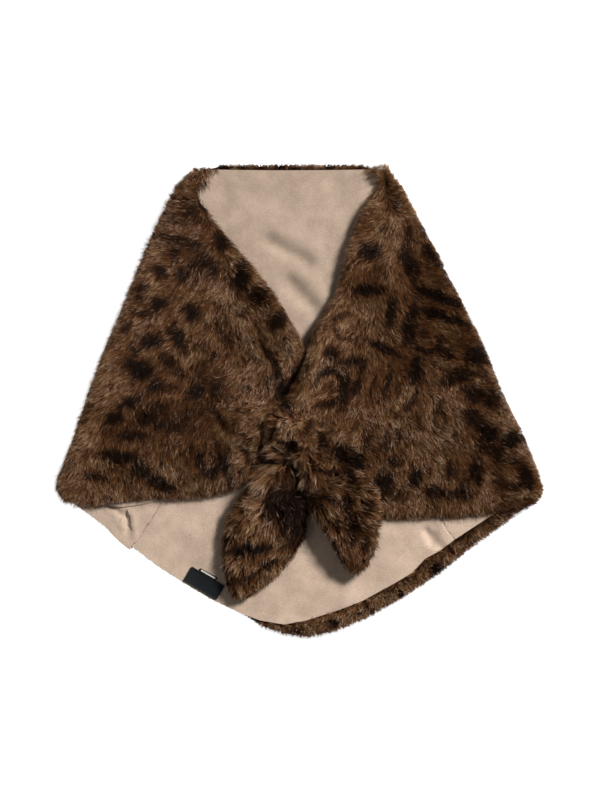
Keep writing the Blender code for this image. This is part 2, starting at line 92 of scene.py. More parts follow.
UNDER_COAT = Coat(16, 0.2, 1.3, 2.4, 16, 0, 0, 0, (11, 4), (0.15, 0.3), (20, 12))

# Pieces of pile: nodes, whether their underside, hairs in all, coat
Pile = namedtuple("Pile", "name nodes under count coat")
PILES = (
    Pile("pile_left", ("fur_left",), False, 98000, TOP_COAT),
    Pile("pile_right", ("fur_right",), False, 98000, TOP_COAT),
    Pile("pile_knot", ("knot",), False, 20000, KNOT_COAT),
    Pile("pile_tails", ("tail_left", "tail_right"), False, 66000, KNOT_COAT),
    Pile("pile_back", ("fur_back",), False, 36000, EDGE_COAT),
    Pile("pile_under", ("fur_left", "fur_right", "fur_back"), True, 44000, UNDER_COAT),
    Pile("guard_left", ("fur_left",), False, 40000, GUARD_COAT),
    Pile("guard_right", ("fur_right",), False, 40000, GUARD_COAT),
)
FIRST_SEED, SEED_STEP = 100, 10

# Shape of each hair, in every coat
LENGTH_LIMITS = (0.4, 1.7)  # shares of the coat's length
LOCK_LENGTH = 0.10  # how much one coarse lock differs from the next in length
PROUD_DRAW = (2.0, 0.5)  # shape and scale of the gamma draw of how far each tip may stand proud
ROOT_SHARE = 0.55  # of the wall's thickness that a root may reach
SHALLOW_LENGTH = 0.45  # share of its length that a hair keeps where its root has no depth
LIFT_SPREAD, LAY_SPREAD = 9.0, 7.0  # degrees by which hairs differ
MIDDLE_PULL = 0.35  # share of a lock's pull that a hair's middle takes
CUT_ROUNDS, CUT_TO = 5, 0.78  # how often a hair that stands too far out is cut back, and to what share
WIDTH_LIMITS = (0.6, 1.4)  # shares of the coat's width
TWIST = 40.0  # greatest turn of a kite about its length
FLOOR_CLEAR = 0.15  # height that no corner goes below

# Colour of each hair: u and v on its UV map
SEEN_AT = 0.45  # share of a hair's outer half past which its colour shows
SEEN_SPREAD = 1.2  # how far a fine lock's colour strays from its place in the print
LOCK_TONE, HAIR_TONE = 0.16, 0.02  # how much one fine lock or hair differs from the next in tone
LOCK_SHADE, HAIR_SHADE = 0.08, 0.08  # and in light
TONE_LIMITS = (0.02, 0.98)
PLAIN_SHARE = 0.85  # share of the light tips that a full mark lacks
LOCK_LIT = 0.6  # how far the hairs of a fine lock are frosted together
FROST_GAIN, FROST_LEAST = 1.25, 0.08  # of the share of hairs with light tips
FROST_SOFT = (-0.12, 0.3)  # how gradually a hair has a light tip or none
FROST_DRAW = (0.6, 1.0)
ROOT_V, BODY_V = 0.02, 0.38
FROST_LIFT = 0.1  # how much a light tip lifts the hair's middle
TIP_RISE, FROST_RISE = 0.14, 0.46  # how far a plain tip is above the middle, and how much more a light one
BODY_LIMITS, TIP_LIMITS = (0.08, 0.6), (0.0, 0.98)
U_HALF_WIDTH = 0.006

# Nap: where the hair points, as x, y and degrees
NAP = {
    "fur_left": (
        (-128, 276, 130), (-150, 238, 158), (-165, 200, 176), (-190, 150, 196),
        (-225, 70, 205), (-262, -20, 214), (-283, -95, 225), (-110, 200, 215),
        (-140, 120, 222), (-165, 30, 238), (-200, -30, 262), (-225, -80, 285),
        (-108, 150, 252), (-60, 95, 282), (-30, 45, 292), (-112, 274, 300),
        (-92, 215, 345), (-66, 165, 342), (-38, 125, 336), (-14, 82, 318),
        (-85, 15, 238), (-55, -15, 210), (-110, -45, 268), (-145, -85, 280),
        (-75, -85, 255),
    ),
    "fur_right": (
        (108, 276, 58), (128, 240, 12), (96, 274, 232), (91, 222, 205),
        (82, 190, 212), (112, 200, 268), (160, 150, 352), (190, 85, 346),
        (225, 20, 335), (135, 80, 328), (80, 125, 290), (52, 115, 220),
        (26, 85, 222), (118, 12, 280), (60, 20, 262), (20, 30, 250),
        (40, -30, 290), (130, -32, 304), (180, -55, 306), (240, -40, 322),
        (285, -105, 345), (245, -100, 335), (100, -85, 286), (130, -125, 276),
        (200, -120, 290),
    ),
    "fur_back": (
        (-60, 283, 95), (60, 283, 82), (0, 150, 90), (-120, -225, 240),
        (0, -280, 275), (90, -250, 292), (160, -205, 305),
    ),
    "knot": (
        (-9.6, -6, 95), (14, -22, 330), (20, -42, 300), (2, -66, 275),
        (-22, -64, 250), (-38, -44, 205), (-32, -18, 150), (-10, -33, 215),
    ),
    "tail_left": (
        (-20, -70, 235), (-60, -115, 225), (-30, -125, 262), (-80, -170, 250),
        (-40, -185, 262), (-70, -230, 258),
    ),
    "tail_right": (
        (15, -75, 300), (60, -90, 335), (40, -125, 318), (85, -140, 330),
        (55, -175, 292), (70, -205, 272),
    ),
}
NAP_REACH = 18.0  # distance within which a row has its full weight
NAP_WAVES = ((14, 34, 71), (9, 15, 72))  # degrees, size and seed
LEAST_RISE = 0.05  # keeps a heading from being turned right over
# Where the nap is stirred into whorls, and where hair bridges a crease: x, y, radius, and degrees or length
STIRRED = ((-30, -25, 75, 42), (30, -40, 60, 34), (-20, -110, 70, 22))
STIR_SIZE, STIR_SEED = 24, 73
BRIDGED = (
    (-3, 6, 22, 8),
    (-9.6, -37.8, 44, 5),
    (-42, -86, 18, 6),
    (8, -112, 40, 7),
    (-28, -76, 24, 9),
    (-112, 276, 15, 5),
    (94, 276, 17, 6),
)
BRIDGE_FULL = 0.6  # share of the radius within which the hair is at its longest
# Hems where the fur is turned in, so that no tip stands proud: x1, x2, y1, y2 and the height below which
TURNED_IN = ((-330, -50, -330, -127, 9.5), (-234, -164, -135, -112, 22))
TURNED_OVER = 12.0  # the fade at the sides of each
UNDER_NAP = {"fur_left": -20, "fur_right": 200, "fur_back": 270}

# The print, with strengths in percent, and a few painted shadows among its dark marks. Dark marks: x, y,
# length, width, turn and strength
MARKS_LEFT = (
    (-70, 145, 24, 19, 75, 100), (-68, 160, 14, 12, 0, 70), (-47, 126, 25, 19, 30, 88),
    (-25, 94, 22, 17, 50, 85), (-191, 134, 18, 10, 30, 75), (-168, 154, 18, 14, -20, 78),
    (-141, 149, 17, 15, 0, 75), (-117, 167, 16, 22, 0, 65), (-149, 174, 12, 17, 10, 65),
    (-150, 194, 32, 9, -5, 60), (-126, 184, 16, 12, 0, 55), (-95, 188, 17, 23, 10, 80),
    (-104, 156, 16, 20, 0, 70), (-130, 224, 18, 13, 20, 62), (-112, 236, 15, 18, 0, 72),
    (-171, 115, 16, 15, 0, 88), (-193, 122, 13, 10, 0, 60), (-190, 104, 20, 9, -8, 65),
    (-129, 104, 25, 16, -42, 90), (-207, 88, 14, 11, 30, 62), (-177, 70, 19, 16, 0, 92),
    (-145, 74, 30, 14, -60, 92), (-114, 64, 16, 12, 0, 55), (-200, 62, 15, 11, 0, 55),
    (-191, 36, 32, 18, -33, 100), (-157, 48, 24, 11, -28, 72), (-208, 43, 14, 10, 0, 62),
    (-144, 33, 13, 15, 0, 55), (-90, 78, 30, 8, -56, 62), (-108, 52, 20, 13, 20, 50),
    (-123, 10, 24, 15, 15, 90), (-102, 16, 16, 26, 0, 65), (-163, 16, 36, 12, 0, 68),
    (-204, -4, 24, 12, 10, 85), (-222, -22, 23, 14, 0, 90), (-181, -24, 21, 14, 20, 85),
    (-166, -31, 19, 12, 0, 80), (-142, -32, 30, 16, 0, 60), (-167, -8, 28, 9, 0, 60),
    (-199, -44, 38, 10, 0, 70), (-213, -68, 42, 12, -6, 90), (-189, -86, 24, 14, -20, 85),
    (-166, -100, 30, 14, -24, 92), (-119, -72, 13, 25, 0, 72), (-90, -76, 32, 12, 106, 90),
    (-106, -88, 22, 12, 0, 70), (-149, -54, 26, 8, 0, 50), (-240, -92, 32, 9, -6, 60),
    # The last two rows of the next line are painted shade: two narrow dark lines in the crease beside the
    # left front's ridge
    (-256, -68, 9, 20, -15, 50), (-36, 52, 40, 6, -62, 85), (-27, 42, 40, 5, -66, 80),
    (-21, 2, 13, 50, 4, 100), (-94, -24, 32, 9, -58, 72), (-62, -43, 34, 8, -18, 55),
    (-62, -66, 18, 7, -60, 75), (-50, -77, 22, 8, 8, 80), (-31, -36, 14, 18, 0, 60),
    (-3, 32, 9, 20, -10, 60), (-125, -30, 74, 40, 70, 40), (-110, 22, 46, 44, 0, 50),
    (-162, -18, 84, 30, 0, 40), (-212, -32, 54, 34, 0, 28), (-120, 172, 44, 44, 0, 40),
    (-100, 202, 22, 46, 30, 40), (-130, 226, 46, 32, 20, 35), (-192, -90, 76, 22, -8, 32),
)
MARKS_RIGHT = (
    (84, 177, 22, 18, 0, 100), (83, 132, 36, 12, 2, 100), (133, 162, 32, 15, -62, 88),
    (130, 192, 12, 34, 0, 58), (158, 176, 32, 10, -54, 78), (168, 124, 54, 11, -22, 100),
    (174, 100, 58, 10, -18, 100), (138, 102, 16, 14, 0, 90), (150, 79, 9, 9, 0, 60),
    (166, -12, 28, 7, 70, 65), (131, 87, 38, 12, 82, 98), (177, 56, 22, 11, -30, 85),
    (213, 53, 26, 20, -8, 100), (40, 56, 15, 13, 0, 88), (140, 36, 12, 30, -8, 98),
    (110, 104, 38, 10, 82, 95), (98, 64, 38, 10, -24, 85), (66, 46, 32, 8, 4, 85),
    (71, 66, 12, 12, 0, 50), (53, 10, 13, 40, -6, 92), (33, -6, 24, 9, 0, 68),
    (72, 26, 42, 7, 66, 72), (88, 16, 24, 6, 72, 50), (106, 19, 38, 6, 76, 68),
    (118, 12, 20, 5, 88, 45), (136, 0, 34, 7, 60, 80), (146, -18, 22, 6, 50, 50),
    (120, -16, 20, 6, 60, 45), (191, 27, 36, 16, 18, 85), (211, 7, 30, 18, -20, 78),
    (233, 0, 20, 17, 0, 80), (208, -20, 20, 20, 0, 75), (225, -38, 25, 20, -20, 100),
    (255, -48, 26, 17, 20, 98), (229, -57, 22, 11, 0, 72), (63, -78, 26, 28, 0, 95),
    (49, -63, 18, 20, 0, 80), (115, -74, 17, 13, 0, 75), (101, -100, 21, 26, 0, 100),
    (139, -94, 15, 24, 0, 92), (163, -111, 22, 15, 0, 92), (193, -112, 28, 15, 0, 85),
    (213, -86, 15, 26, 0, 88), (241, -99, 14, 18, 0, 62), (241, -72, 16, 12, 0, 55),
    (273, -92, 16, 26, 14, 90), (181, -88, 10, 20, 0, 60), (84, -46, 12, 22, -20, 60),
    (68, -32, 10, 26, -24, 60), (104, -46, 10, 22, -20, 50), (122, -116, 18, 10, 0, 50),
    (118, 240, 12, 24, 10, 50), (150, 204, 8, 22, 26, 50), (66, -24, 76, 34, -20, 34),
)
MARKS_KNOT = (
    (-8, -53, 12, 13, 0, 90), (16, -82, 26, 6, -6, 80), (14, -30, 10, 22, -20, 60),
    (-32, -40, 12, 18, 0, 60), (-14, -8, 12, 12, 0, 90),
)
MARKS_TAILS = (
    # The first two rows are painted shadow: the right tail's shadow on the inner half of the left tail
    (-6, -138, 32, 68, 0, 95), (-24, -124, 34, 46, 0, 80), (-58, -179, 52, 12, 4, 98),
    (-38, -198, 20, 11, 20, 75), (-74, -152, 14, 20, 0, 35), (-82, -172, 12, 14, 0, 45),
    (-66, -214, 30, 10, 20, 45), (61, -76, 18, 30, 0, 75), (36, -86, 34, 7, -6, 85),
    (58, -124, 14, 34, 0, 80), (40, -120, 18, 9, -20, 60), (66, -152, 16, 26, 0, 72),
    (84, -128, 12, 18, 0, 62), (46, -150, 16, 10, -20, 55), (80, -168, 10, 18, 0, 55),
)
MARKS = {
    "fur_left": MARKS_LEFT,
    "fur_right": MARKS_RIGHT,
    "knot": MARKS_KNOT,
    "tail_left": MARKS_TAILS,
    "tail_right": MARKS_TAILS,
}
# Broken rings on the right front: x, y, length, width, turn, thickness, strength, and where the ring is open
RINGS = (
    (153, 75, 34, 34, 0, 7.5, 85, 60), (36, 15, 34, 38, 0, 8, 90, 200),
    (98, -44, 44, 34, 10, 7, 60, 80), (197, -82, 36, 32, 0, 7, 80, 100),
    (158, -22, 36, 30, -20, 6, 55, 120), (256, -88, 32, 32, 0, 7, 70, 150),
    (60, 88, 36, 32, 0, 6, 60, 30),
)
# Rust patches: x, y, length, width, turn and strength
WARM = (
    (172, 148, 34, 16, -30, 100), (204, 72, 28, 24, 0, 100), (80, 148, 36, 18, 0, 95),
    (122, 46, 34, 26, 0, 95), (100, 20, 60, 36, 0, 70), (152, 75, 26, 26, 0, 80),
    (185, 112, 50, 10, -20, 80), (36, 15, 18, 18, 0, 100), (196, -82, 26, 22, 0, 80),
    (124, 121, 24, 22, 0, 85), (245, 14, 26, 16, -50, 70), (245, -80, 40, 20, 0, 60),
    (95, -70, 60, 16, 0, 60), (190, -60, 40, 14, -10, 40), (-165, 36, 22, 18, 0, 75),
    (-150, 100, 24, 16, 0, 40), (-185, -34, 60, 22, 0, 45), (-165, -64, 44, 20, 0, 60),
    # The second row of the next line warms the painted shadow between the tails to a dark brown
    (-120, -30, 40, 40, 0, 40), (-20, -130, 20, 30, 0, 70), (28, -66, 26, 16, 0, 80),
    (-55, -190, 40, 14, 8, 65), (73, -98, 20, 16, 0, 75), (70, -192, 22, 16, 0, 55),
    (150, -200, 60, 14, 35, 45),
)
# Frosted stretches, one of them partly a painted highlight: x1, y1, x2, y2, half width and strength
FROST = (
    (-99, 134, -78, 116, 12, 100), (-84, 120, -60, 66, 12, 85), (-60, 66, -46, 46, 9, 80),
    (-12, 62, -14, 38, 8, 100), (-160, 216, -122, 200, 11, 60), (-190, 148, -240, 30, 6, 45),
    (-150, 60, -128, 44, 8, 60), (-72, 30, -50, -8, 13, 70), (-52, -62, -50, -66, 7, 70),
    (-256, -40, -250, -56, 10, 95), (-262, -92, -246, -108, 9, 60), (-172, -82, -150, -88, 9, 70),
    (-228, -110, -130, -112, 5, 50), (-128, -100, -112, -112, 8, 55), (-16, -30, -14, -36, 9, 100),
    (-32, -62, -26, -70, 8, 90), (118, 234, 116, 190, 6, 100), (112, 180, 108, 150, 7, 70),
    (96, 204, 100, 192, 9, 75), (66, 108, 34, 72, 10, 60), (32, 44, 10, 26, 9, 100),
    (16, 60, 4, 40, 8, 70), (129, 14, 126, 4, 9, 90), (98, 10, 92, -6, 10, 50),
    (60, -12, 124, -32, 9, 75), (130, -36, 178, -50, 9, 90), (170, -74, 171, -75, 7, 100),
    (224, -86, 226, -90, 8, 80), (246, -42, 250, -32, 8, 55), (256, -116, 284, -112, 8, 60),
    (-60, -118, -50, -136, 10, 80), (-52, -136, -44, -150, 6, 100), (-72, -164, -56, -170, 4, 80),
    # The second row of the next line runs along the right front's fold: partly light tips, partly a painted
    # highlight where the fur curls over it
    (-86, -150, -82, -196, 7, 75), (196, 110, 268, -58, 6, 60), (-6, -76, 24, -138, 7, 100),
    (24, -138, 50, -184, 4, 95), (72, -92, 78, -102, 8, 75), (-24, -58, -52, -108, 11, 100),
    (-10, -62, -4, -84, 8, 90),
)
# Stretches with few light tips: x, y, length, width, turn and strength
CLEAR = (
    (172, 108, 150, 80, -62, 62), (84, 146, 44, 44, 0, 50), (108, 38, 84, 56, 0, 50),
    (200, -78, 70, 40, 0, 40), (-168, 34, 60, 90, 0, 35), (-205, -30, 110, 60, 0, 40),
    (-120, -30, 60, 70, 0, 45),
)
# How ragged each is, as rows of a noise's height, size and seed, and where it fades, with 1 at its edge
MARK_EDGES = ((0.22, 7, 31), (0.12, 3.5, 32))
MARK_FADE = (0.50, 1.95)
RING_EDGES = ((0.7, 12, 33),)
RING_GAP, RING_GAP_FADE = 0.8, (0.3, 0.9)  # how much of a ring is missing where it is open
PATCH_FADE = (0.5, 1.6)
FROST_EDGES = ((2.5, 16, 62),)
# Between the marks: the tone, and how many hairs have light tips
TONE_BASE, TONE_WAVES = 0.58, ((0.05, 60, 41), (0.08, 20, 42), (0.05, 9, 43))
FROST_BASE, FROST_WAVES = 0.39, ((0.10, 30, 61),)
WARM_TONE, WARM_PLAIN = 0.46, 0.8  # of a rust patch: its tone, and how far it lacks light tips
DARK_SHARE = 0.92  # how far a full mark darkens the tone
# Spots strewn between the marks: spacing, and strength as a share
SPOTS = {"fur_left": (14, 0.45), "fur_right": (17, 0.3), "fur_back": (30, 0.85)}
SPOTS_ELSEWHERE, SPOTS_UNDER = (20, 0.25), (30, 0.85)
SPOT_SEED = 51
SPOT_STRAY, SPOT_RADII = 0.32, (0.22, 0.4)  # shares of the spacing
SPOT_FADE, SPOT_RING = (0.45, 0.95), 0.34  # where a full spot fades and how wide a ring is, in its radii
SPOT_RAGGED, SPOT_NOTCHES = 0.22, 2.5  # height of a spot's ragged edge, and notches in the spacing
SPOT_RINGED = 0.6  # share of the spots that are rings
SPOT_BREAKS, SPOT_TURN = (-0.9, 0.1), 6.28  # where a ring is broken, and its greatest turn in radians

# Creases and rolls of the lining: x1, y1, x2, y2, height and half width
LINING_FOLDS = (
    (-36, 190, 8, 166, -4.2, 8), (-26, 204, 20, 180, 2.2, 10), (-12, 142, 16, 112, -4.6, 8),
    (2, 154, 32, 124, 2, 10), (-92, 266, -90, 250, -1.3, 8), (-64, 255, -20, 238, -1.4, 12),
    (40, 262, 62, 215, -1.8, 12), (-230, -123, -214, -139, -3.6, 4.2), (-222, -134, -210, -148, 1.6, 4),
    (-208, -137, -206.5, -151, -3.6, 3.8), (-200, -134, -198, -156, 1.4, 5), (153, -158, 160, -172, -3.6, 5),
    (162, -164, 170, -176, -3, 6), (-150, -160, -120, -205, -1.4, 14), (-60, -250, 40, -262, -1, 10),
    (100, -160, 120, -215, 1.4, 16), (10, -225, 60, -236, 1.4, 14),
)
# Stitched seams between the linings, drawn where they show plainly
SEAMS = ((-166.8, -124.2, -199.2, -173.4), (169.2, -141, 187.2, -167.4))
SEAM_DEPTH, SEAM_WIDTH = 0.7, 1.4
LINING_CELL = 5.0
FINE_CELL = 2.0
FINE_AREAS = ((-240, -182, -160, -118), (140, -192, 196, -136))  # x1, y1, x2, y2
# Where the left front's hem shows its lining: x, half width, y below which, and how far it is turned out
TURNED_OUT = (-198, 30, -112, 6)
TURNED_OUT_FADE, TURNED_OUT_ABOVE = 8, 11  # over how much y it begins, and above what height
LINING_WAVES = ((0.55, 55, 81), (0.1375, 22, 82))  # height, size and seed of its slight swell
LINING_FLAT = 0.3  # faces that differ by less than this are joined before the lining is cut into cells
CUT_SNAP = 1e-6  # metres within which a cut takes a point that is there
PRESSED_ABOVE = (11.5, 13.0)  # heights over which the lining stops following the creases

# Labels and the light edge of one: length, width, thickness, centre x, centre y, turn, height over the
# lining, corner lift
Label = namedtuple("Label", "length width thickness x y turn over curl")
LABELS = {
    "label_size": Label(24, 15, 0.5, -112, -214, -28.5, 0.35, 0.3),
    "label_main": Label(46, 19.5, 0.6, -114.2, -219.7, -30.6, 1.15, 0.8),
}
LABEL_EDGE = Label(20, 1.9, 0.2, -109.2, -209.2, -29.5, 0.85, 0)
LABEL_BORDER, LABEL_FIELD = 1.0, 0.75  # width of its border, and how thick the rest is as a share
CURL_ALONG, CURL_ACROSS = 6, 4  # how late it lifts towards its ends and its long edges

# Sheets of cloth: node, flat size and area of what shows of the cut in metres, how it is held, what it
# rests on, and the pieces that go with it
Sheet = namedtuple("Sheet", "name flat area held rests_on others")

# Ramps of (place, linear colour or grey). The hairs' UV map gives the place on TONES by its u, on SHADES
# and FROSTS by its v
UV_MAP = "OFBake"
TONES = (
    (0.0, (0.0082, 0.0038, 0.0017)),
    (0.18, (0.023, 0.0082, 0.0026)),
    (0.34, (0.064, 0.0235, 0.0072)),
    (0.4, (0.1, 0.0385, 0.012)),
    (0.46, (0.21, 0.08, 0.0275)),
    (0.54, (0.15, 0.065, 0.023)),
    (0.64, (0.18, 0.084, 0.031)),
    (0.82, (0.275, 0.152, 0.066)),
    (1.0, (0.4, 0.24, 0.115)),
)
# SHADES darkens each hair towards its root: partly the darker underfur, partly painted shade deep in the pile
SHADES = ((0.0, 0.18), (0.35, 0.55), (0.6, 1.0), (1.0, 1.0))
FROSTS = ((0.6, 0.0), (0.98, 1.0))
FROST_COLOUR = (0.78, 0.55, 0.385, 1.0)
CORE_COLOURS = ((0.35, (0.02, 0.009, 0.004)), (0.75, (0.06, 0.028, 0.012)))
LINING_COLOURS = ((0.36, (0.45, 0.336, 0.254)), (0.62, (0.612, 0.466, 0.358)))
LINING_PAINTED_SHADE = ((0.25, 1.0), (0.6, 0.78))  # painted shade: darker towards the neck, where the fur stands up on both sides
PAINTED_SHADE_SPAN = 300.0  # y over which that ramp runs, below and above the middle
LABEL_COLOURS = ((0.4, (0.005, 0.006, 0.007)), (0.62, (0.013, 0.015, 0.017)))
LABEL_EDGE_COLOURS = ((0.4, (0.62, 0.56, 0.48)), (0.62, (0.8, 0.74, 0.66)))


# ------------ surfaces and noise

Surface = namedtuple("Surface", "points triangles normals tree")
Skin = namedtuple("Skin", "node corners normals areas")


def welded(node):
    """A CAD node's mesh, in metres, with its doubled points joined."""
    body = bmesh.new()
    body.from_mesh(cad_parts[node].data)
    bmesh.ops.remove_doubles(body, verts=body.verts, dist=WELD)
    return body


def read_surface(node):
    """Points, triangles and smooth normals of a CAD node, in millimetres."""
    body = welded(node)
    bmesh.ops.triangulate(body, faces=body.faces)
    body.normal_update()
    body.verts.index_update()
    points = np.array([vertex.co for vertex in body.verts]) / MM
    normals = np.array([vertex.normal for vertex in body.verts])
    triangles = np.array([[vertex.index for vertex in face.verts] for face in body.faces])
    body.free()
    tree = BVHTree.FromPolygons(points.tolist(), triangles.tolist())
    return Surface(points, triangles, normals, tree)


def trees_beside(node, others):
    """Search trees of the other nodes, without the node itself."""
    return [surfaces[name].tree for name in others if name != node]


def unit(vectors):
    return vectors / np.maximum(np.linalg.norm(vectors, axis=-1, keepdims=True), 1e-9)


def crossed(corners):
    """A vector along each triangle's normal, twice as long as the triangle is large."""
    return np.cross(corners[:, 1] - corners[:, 0], corners[:, 2] - corners[:, 0])


def ease(value, start, end):
    """0 before start, 1 after end, and smooth between them."""
    share = np.clip((value - start) / (end - start), 0.0, 1.0)
    return share * share * (3 - 2 * share)


def waves(points, size, seed, count=16):
    """Smooth noise, mostly from -1 to 1, with features of about this size."""
    draw = np.random.default_rng(seed)
    directions = unit(draw.normal(size=(count, points.shape[1])))
    pace = 2 * np.pi / size * draw.uniform(*NOISE_PACES, count)
    phases = draw.uniform(0, 2 * np.pi, count)
    return np.cos((points @ directions.T) * pace + phases).sum(axis=1) * (NOISE_HEIGHT / count**0.5)


def layers(points, rows, base=0.0):
    """A base with smooth noises on it, one for each row of height, size and seed."""
    return sum((height * waves(points, size, seed) for height, size, seed in rows), base)


def nearest(points, centres):
    """Index of the centre that is nearest to each point."""
    tree = KDTree(len(centres))
    for index, centre in enumerate(centres.tolist()):
        tree.insert(centre, index)
    tree.balance()
    return np.array([tree.find(point)[1] for point in points.tolist()])


def line_distance(xy, x1, y1, x2, y2):
    start, run = np.array((x1, y1)), np.array((x2 - x1, y2 - y1))
    share = np.clip(((xy - start) @ run) / (run @ run), 0.0, 1.0)
    return np.linalg.norm(xy - start - share[:, None] * run, axis=1)


def in_oval(xy, x, y, length, width, turn):
    """Each point's place in an oval's own frame, with 1 at its edge."""
    angle = np.radians(turn)
    across, up = xy[:, 0] - x, xy[:, 1] - y
    along = (across * np.cos(angle) + up * np.sin(angle)) / (length / 2)
    beside = (up * np.cos(angle) - across * np.sin(angle)) / (width / 2)
    return along, beside


# ------------ print, with a few painted shadows and a painted highlight


def spots(points, size, seed):
    """Darkness of uneven spots and broken rings, spread evenly, from 0 to 1."""
    draw = np.random.default_rng(seed)
    low, high = points.min(0) - size, points.max(0) + size
    steps = [np.arange(a, b, size) for a, b in zip(low[:2], high[:2])]
    grid = np.stack(np.meshgrid(*steps), axis=-1).reshape(-1, 2)
    grid += draw.uniform(-SPOT_STRAY, SPOT_STRAY, grid.shape) * size
    centres = np.column_stack([grid, np.zeros(len(grid))])
    flat = np.column_stack([points[:, :2], np.zeros(len(points))])
    home = nearest(flat, centres)
    away = flat - centres[home]
    radius = size * draw.uniform(*SPOT_RADII, len(centres))[home]
    ringed = draw.uniform(0, 1, len(centres))[home] < SPOT_RINGED
    ragged = SPOT_RAGGED * waves(points, size / SPOT_NOTCHES, seed + 1)
    reach = np.linalg.norm(away, axis=1) / radius + ragged
    turn = np.arctan2(away[:, 1], away[:, 0]) + draw.uniform(0, SPOT_TURN, len(centres))[home]
    broken = ease(np.sin(2 * turn) + np.sin(3 * turn + 1.0), *SPOT_BREAKS)
    ring = np.exp(-(((reach - 1.0) / SPOT_RING) ** 2)) * broken
    return np.where(ringed, ring, 1 - ease(reach, *SPOT_FADE))


def ovals(points, table, fade, ragged=0.0):
    """How far each point lies in one of these soft ovals, from 0 to 1."""
    share = np.zeros(len(points))
    for x, y, length, width, turn, strength in table:
        reach = np.hypot(*in_oval(points, x, y, length, width, turn)) + ragged
        share = np.maximum(share, strength / 100 * (1 - ease(reach, *fade)))
    return share


def rings(points, table):
    """Darkness of the listed broken rings."""
    dark = np.zeros(len(points))
    ragged = layers(points, RING_EDGES)
    for x, y, length, width, turn, thick, strength, gap in table:
        along, beside = in_oval(points, x, y, length, width, turn)
        away = (np.hypot(along, beside) - 1) * min(length, width) / 2 + ragged
        opening = np.cos(np.arctan2(beside, along) - np.radians(gap))
        ring = np.exp(-((away / (thick / 2)) ** 2)) * (1 - RING_GAP * ease(opening, *RING_GAP_FADE))
        dark = np.maximum(dark, strength / 100 * ring)
    return dark


def print_and_shade_tone(points, node, under):
    """Tone of the print with its few painted shadows, and where it has no light tips. 0 is black, 0.2 dark
    brown, 0.46 rust and 1 tan.
    """
    tone = layers(points, TONE_WAVES, TONE_BASE)
    size, strength = SPOTS_UNDER if under else SPOTS.get(node, SPOTS_ELSEWHERE)
    dark = strength * spots(points, size, SPOT_SEED)
    warm = np.zeros(len(points))
    if not under:
        warm = ovals(points, WARM, PATCH_FADE)
        dark = np.maximum(dark, ovals(points, MARKS.get(node, ()), MARK_FADE, layers(points, MARK_EDGES)))
        if node == "fur_right":
            dark = np.maximum(dark, rings(points, RINGS))
    tone += warm * (WARM_TONE - tone)
    return np.clip(tone * (1 - DARK_SHARE * dark), *TONE_LIMITS), np.maximum(dark, WARM_PLAIN * warm)


def frost_share(points, under):
    """How many of the hairs have light tips at each root, where one stretch is partly a painted highlight."""
    share = layers(points, FROST_WAVES, FROST_BASE)
    if not under:
        ragged = layers(points, FROST_EDGES)
        for x1, y1, x2, y2, half, strength in FROST:
            away = line_distance(points[:, :2], x1, y1, x2, y2) + ragged
            share = np.maximum(share, strength / 100 * np.exp(-((away / half) ** 2)))
        share *= 1 - ovals(points, CLEAR, PATCH_FADE)
    return share


# ------------ skin and nap


def touches(points, node, others):
    """True where a point of this node lies against one of the others."""
    covered = np.zeros(len(points), bool)
    for tree in trees_beside(node, others):
        near = [tree.find_nearest(point, COVERED_WITHIN)[0] is not None for point in points.tolist()]
        covered |= np.array(near)
    return covered


def cut_down(corners, normals, size):
    """Quarters every triangle that has a side longer than this, again and again."""
    small = []
    while len(corners):
        sides = np.linalg.norm(corners - np.roll(corners, 1, axis=1), axis=2)
        big = sides.max(axis=1) > size
        small.append((corners[~big], normals[~big]))
        corners, normals = quarters(corners[big]), quarters(normals[big])
    return (np.concatenate(part) for part in zip(*small))


def quarters(values):
    """The four small triangles in each triangle of values."""
    halves = (values + np.roll(values, -1, axis=1)) / 2
    tips = [np.stack([values[:, i], halves[:, i], halves[:, i - 1]], axis=1) for i in range(3)]
    return np.concatenate([*tips, halves])


def close_gaps(points, node, others):
    """Draws edges that almost meet another node a little past the middle of the gap."""
    points = points.copy()
    for tree in trees_beside(node, others):
        for index, point in enumerate(points.tolist()):
            near = tree.find_nearest(point, SEAM_GAP)[0]
            if near is not None:
                points[index] += SEAM_CLOSE * (np.array(near) - point)
    return points


def skin_of(node, under):
    """The faces of a node that grow hair, on its underside or elsewhere."""
    surface = surfaces[node]
    corners = surface.points[surface.triangles]
    downward = unit(crossed(corners))[:, 2] < UNDERSIDE_FACES
    below = downward & (corners[:, :, 2].mean(axis=1) < UNDERSIDE_BELOW)
    chosen = below if under else ~below
    corners, normals = cut_down(corners[chosen], surface.normals[surface.triangles[chosen]], SKIN_CELL)
    bare = touches(corners.mean(axis=1), node, FUR_NODES + LINING_NODES)
    corners, normals = corners[~bare], normals[~bare]
    return Skin(node, corners, normals, np.linalg.norm(crossed(corners), axis=1) / 2)


def scatter(skin, count, draw):
    """Random points on a skin, with their normals."""
    face = draw.choice(len(skin.areas), count, p=skin.areas / skin.areas.sum())
    a, b = np.sqrt(draw.random(count)), draw.random(count)
    shares = np.stack([1 - a, a * (1 - b), a * b], axis=-1)[..., None]
    points = (skin.corners[face] * shares).sum(axis=1)
    return points, unit((skin.normals[face] * shares).sum(axis=1))


